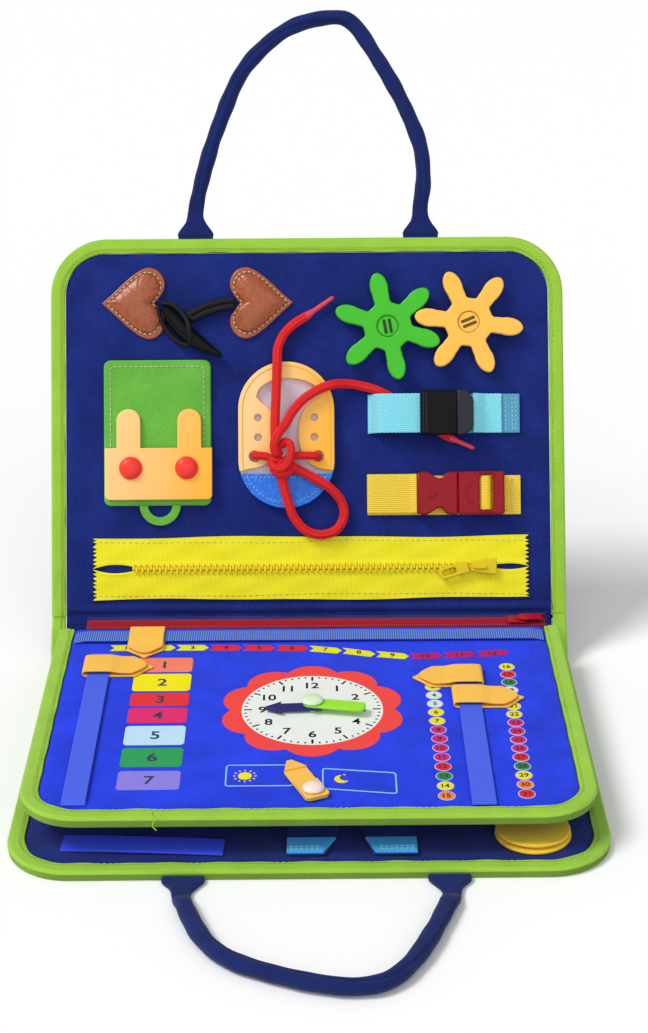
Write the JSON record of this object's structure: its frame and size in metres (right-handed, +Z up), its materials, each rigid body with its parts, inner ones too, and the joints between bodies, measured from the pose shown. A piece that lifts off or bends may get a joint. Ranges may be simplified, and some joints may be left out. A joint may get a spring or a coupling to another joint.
{
  "type": "felt busy book",
  "caption": "Folding felt activity book: a leaning cover with dressing toys, a clock page over a back cover, zips, straps, gears and two carry loops.",
  "frame": {"origin": "on the table, under the middle of the back cover", "axes": "+Z up, -Y towards the reader, +X to the reader's right along the folds"},
  "size_m": [0.3, 0.4902, 0.3459],
  "materials": {
    "navy_felt": "needle felt",
    "royal_felt": "needle felt",
    "lime_binding": "twill binding tape",
    "handle_cloth": "padded cloth tube",
    "brown_leather": "glossy stitched leatherette",
    "black_cord": "braided cord",
    "black_horn": "glossy horn-shaped toggle",
    "green_felt": "needle felt",
    "orange_foam": "smooth craft foam",
    "red_snap": "glossy snap",
    "lavender_lining": "felt",
    "blue_leather": "glittery leatherette",
    "red_lace": "ribbed round lace",
    "green_plastic": "glossy",
    "yellow_plastic": "glossy",
    "sky_webbing": "woven webbing",
    "black_plastic": "satin",
    "grey_plastic": "satin",
    "gold_webbing": "woven webbing",
    "maroon_plastic": "satin",
    "yellow_tape": "zip tape",
    "red_tape": "zip tape",
    "red_metal": "painted slider",
    "blue_ribbon": "grosgrain ribbon",
    "navy_plastic": "glossy",
    "lime_plastic": "glossy",
    "pale_cap": "glossy",
    "pink_rivet": "glossy",
    "sky_felt": "felt with stitched hems",
    "orange_felt": "felt"
  },
  "bodies": {
    "back_cover": {"back_cover_panel": "royal_felt", "back_cover_binding": "lime_binding", "dungarees": "sky_felt", "round_pouch": "orange_felt"},
    "bottom_handle": {"bottom_handle": "handle_cloth"},
    "spine": {"spine_panel": "royal_felt", "spine_binding_left": "lime_binding", "spine_binding_right": "lime_binding"},
    "page_root": {"page_root_strip": "royal_felt"},
    "page": {"page_panel": "royal_felt", "page_binding": "lime_binding", "red_zip_tape": "red_tape", "month_ribbon": "blue_ribbon", "weekday_ribbon": "blue_ribbon", "date_ribbon": "blue_ribbon", "clock_pin": "pale_cap", "daypart_rivet": "pink_rivet"},
    "red_zip_slider": {"red_zip_slider": "red_metal"},
    "month_pointer": {"month_pointer": "orange_foam"},
    "weekday_pointer": {"weekday_pointer": "orange_foam"},
    "date_pointer_upper": {"date_pointer_upper": "orange_foam"},
    "date_pointer_lower": {"date_pointer_lower": "orange_foam"},
    "hour_hand": {"hour_hand": "navy_plastic"},
    "minute_hand": {"minute_hand": "lime_plastic"},
    "daypart_pointer": {"daypart_pointer": "orange_foam"},
    "front_cover": {"front_cover_panel": "navy_felt", "front_cover_binding": "lime_binding", "heart_left": "brown_leather", "heart_right": "brown_leather", "toggle_loop": "black_cord", "backpack_body": "green_felt", "shoe_lining": "lavender_lining", "shoe_toe_cap": "blue_leather", "shoe_upper": "orange_foam", "lace_knot": "red_lace", "lace_tail_up": "red_lace", "lace_tail_right": "red_lace", "lace_loop": "red_lace", "green_gear_pin": "green_plastic", "yellow_gear_pin": "yellow_plastic", "blue_strap": "sky_webbing", "blue_strap_base": "sky_webbing", "clasp_housing": "black_plastic", "yellow_strap": "gold_webbing", "buckle_socket": "maroon_plastic", "zip_lower_half": "yellow_tape", "zip_upper_half": "yellow_tape"},
    "top_handle": {"top_handle": "handle_cloth"},
    "toggle": {"toggle": "black_horn"},
    "backpack_flap": {"backpack_flap": "orange_foam", "snap_left": "red_snap", "snap_right": "red_snap"},
    "green_gear": {"green_gear": "green_plastic"},
    "yellow_gear": {"yellow_gear": "yellow_plastic"},
    "blue_clasp": {"clasp_tongue": "grey_plastic", "blue_strap_tail": "sky_webbing"},
    "buckle_plug": {"buckle_plug": "maroon_plastic", "yellow_strap_loop": "gold_webbing"},
    "zip_slider": {"zip_slider": "yellow_plastic"},
    "zip_pull": {"zip_pull": "yellow_plastic"}
  },
  "joints": [
    {"name": "spine_fold", "type": "hinge", "parent": "back_cover", "child": "spine", "pos_m": [0, 0.108, 0.005], "axis": [1, 0, 0], "range_deg": [-50, 40]},
    {"name": "cover_fold", "type": "hinge", "parent": "spine", "child": "front_cover", "pos_m": [0, 0.12471, 0.02492], "axis": [1, 0, 0], "range_deg": [-14.2, 64.8]},
    {"name": "page_level", "type": "hinge", "parent": "spine", "child": "page_root", "pos_m": [0, 0.1185, 0.0265], "axis": [1, 0, 0], "range_deg": [-36, 45]},
    {"name": "page_turn", "type": "hinge", "parent": "page_root", "child": "page", "pos_m": [0, 0.1185, 0.0265], "axis": [1, 0, 0], "range_deg": [-103, 0]},
    {"name": "top_handle_swing", "type": "hinge", "parent": "front_cover", "child": "top_handle", "pos_m": [0, 0.22396, 0.22563], "axis": [-1, 0, 0], "range_deg": [-70, 90]},
    {"name": "bottom_handle_swing", "type": "hinge", "parent": "back_cover", "child": "bottom_handle", "pos_m": [0, -0.1129, 0.00165], "axis": [1, 0, 0], "range_deg": [-85, 0]},
    {"name": "toggle_lift", "type": "hinge", "parent": "front_cover", "child": "toggle", "pos_m": [-0.0864, 0.20292, 0.19048], "axis": [0.6428, 0.3334, 0.6897], "range_deg": [-70, 0]},
    {"name": "backpack_flap_open", "type": "hinge", "parent": "front_cover", "child": "backpack_flap", "pos_m": [0, 0.15052, 0.08497], "axis": [-1, 0, 0], "range_deg": [-140, 0]},
    {"name": "green_gear_spin", "type": "hinge", "parent": "front_cover", "child": "green_gear", "pos_m": [0.047, 0.19818, 0.17689], "axis": [0, -0.9003, 0.4352], "continuous": true},
    {"name": "yellow_gear_spin", "type": "hinge", "parent": "front_cover", "child": "yellow_gear", "pos_m": [0.09435, 0.19911, 0.17883], "axis": [0, -0.9003, 0.4352], "continuous": true},
    {"name": "clasp_slide", "type": "slide", "parent": "front_cover", "child": "blue_clasp", "axis": [-1, 0, 0], "range_m": [-0.017, 0]},
    {"name": "buckle_slide", "type": "slide", "parent": "front_cover", "child": "buckle_plug", "axis": [-1, 0, 0], "range_m": [-0.018, 0]},
    {"name": "yellow_zip_run", "type": "slide", "parent": "front_cover", "child": "zip_slider", "axis": [1, 0, 0], "range_m": [-0.19, 0]},
    {"name": "yellow_zip_pull_swing", "type": "hinge", "parent": "zip_slider", "child": "zip_pull", "pos_m": [0.0929, 0.13325, 0.05245], "axis": [0, -0.4352, -0.9003], "range_deg": [-95, 0]},
    {"name": "red_zip_run", "type": "slide", "parent": "page", "child": "red_zip_slider", "axis": [1, 0, 0], "range_m": [-0.22, 0]},
    {"name": "month_slide", "type": "slide", "parent": "page", "child": "month_pointer", "axis": [-1, 0, 0], "range_m": [-0.205, 0.009]},
    {"name": "weekday_slide", "type": "slide", "parent": "page", "child": "weekday_pointer", "axis": [0, 1, 0], "range_m": [-0.128, 0]},
    {"name": "date_upper_slide", "type": "slide", "parent": "page", "child": "date_pointer_upper", "axis": [0, 1, 0], "range_m": [-0.002, 0.004]},
    {"name": "date_lower_slide", "type": "slide", "parent": "page", "child": "date_pointer_lower", "axis": [0, 1, 0], "range_m": [-0.092, 0.002]},
    {"name": "hour_turn", "type": "hinge", "parent": "page", "child": "hour_hand", "pos_m": [0.0018, 0.0083, 0.0272], "axis": [0, 0, 1], "continuous": true},
    {"name": "minute_turn", "type": "hinge", "parent": "page", "child": "minute_hand", "pos_m": [0.0018, 0.0083, 0.0272], "axis": [0, 0, 1], "continuous": true},
    {"name": "daypart_turn", "type": "hinge", "parent": "page", "child": "daypart_pointer", "pos_m": [0.0022, -0.077, 0.0272], "axis": [0, 0, 1], "range_deg": [-95, 50]}
  ],
  "couplings": [
    {"joint": "page_level", "follows": "spine_fold", "ratio": -0.9},
    {"joint": "yellow_gear_spin", "follows": "green_gear_spin", "ratio": -1}
  ]
}
